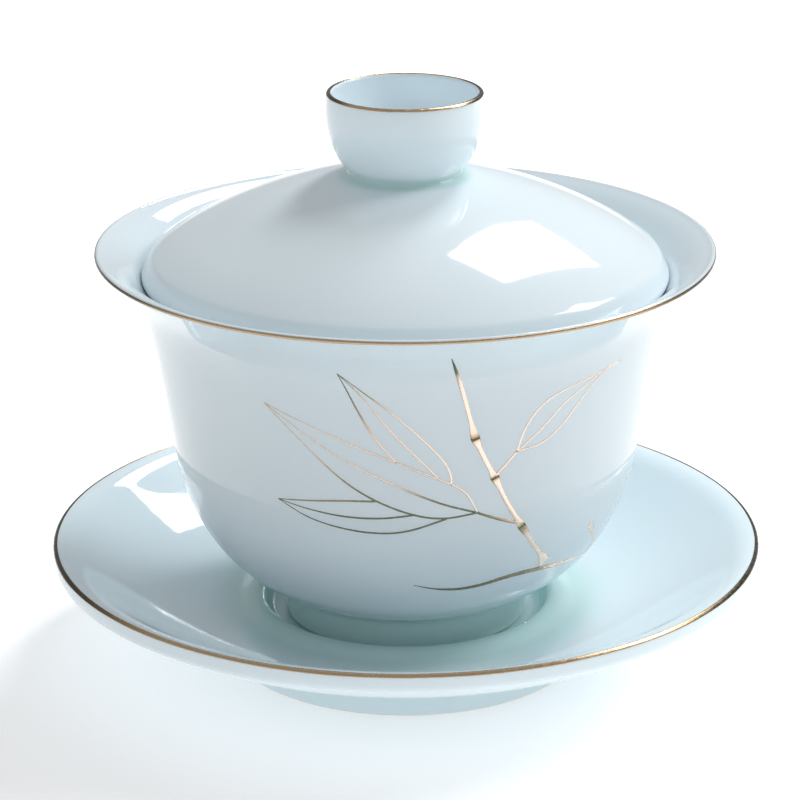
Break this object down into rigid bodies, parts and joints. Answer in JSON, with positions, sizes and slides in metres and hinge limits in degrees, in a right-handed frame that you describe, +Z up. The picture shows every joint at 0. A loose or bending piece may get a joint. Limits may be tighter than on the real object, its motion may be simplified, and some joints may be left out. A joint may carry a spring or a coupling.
{
  "type": "gaiwan",
  "caption": "Lidded porcelain tea bowl standing in the well of its footed saucer, with gilt rim lines and a gilt bamboo drawing.",
  "frame": {"origin": "centre of the saucer's foot, on the plane that the saucer stands on", "axes": "+Z up along the common axis of saucer, bowl and lid; -Y is the front, where the bamboo drawing is"},
  "size_m": [0.1172, 0.1172, 0.0955],
  "materials": {
    "porcelain": "gloss",
    "gilt": "polished"
  },
  "bodies": {
    "saucer": {"saucer": "porcelain", "saucer_gilt_line": "gilt"},
    "bowl": {"bowl": "porcelain", "bowl_gilt_line": "gilt", "bamboo_stem": "gilt", "bamboo_ground": "gilt", "bamboo_shoot": "gilt", "bamboo_high_leaf_right": "gilt", "bamboo_high_leaf_vein": "gilt", "bamboo_high_leaf_left": "gilt", "bamboo_long_leaf_top": "gilt", "bamboo_long_leaf_vein": "gilt", "bamboo_long_leaf_bottom": "gilt", "bamboo_low_leaf_top": "gilt", "bamboo_low_leaf_vein": "gilt", "bamboo_low_leaf_bottom": "gilt", "bamboo_right_leaf_top": "gilt", "bamboo_right_leaf_vein": "gilt", "bamboo_right_leaf_bottom": "gilt"},
    "lid": {"lid": "porcelain", "knob_gilt_line": "gilt"}
  },
  "joints": [
    {"name": "bowl_lift", "type": "slide", "parent": "saucer", "child": "bowl", "axis": [0, 0, 1], "range_m": [0, 0.05]},
    {"name": "lid_lift", "type": "slide", "parent": "bowl", "child": "lid", "axis": [0, 0, 1], "range_m": [0, 0.05]}
  ]
}
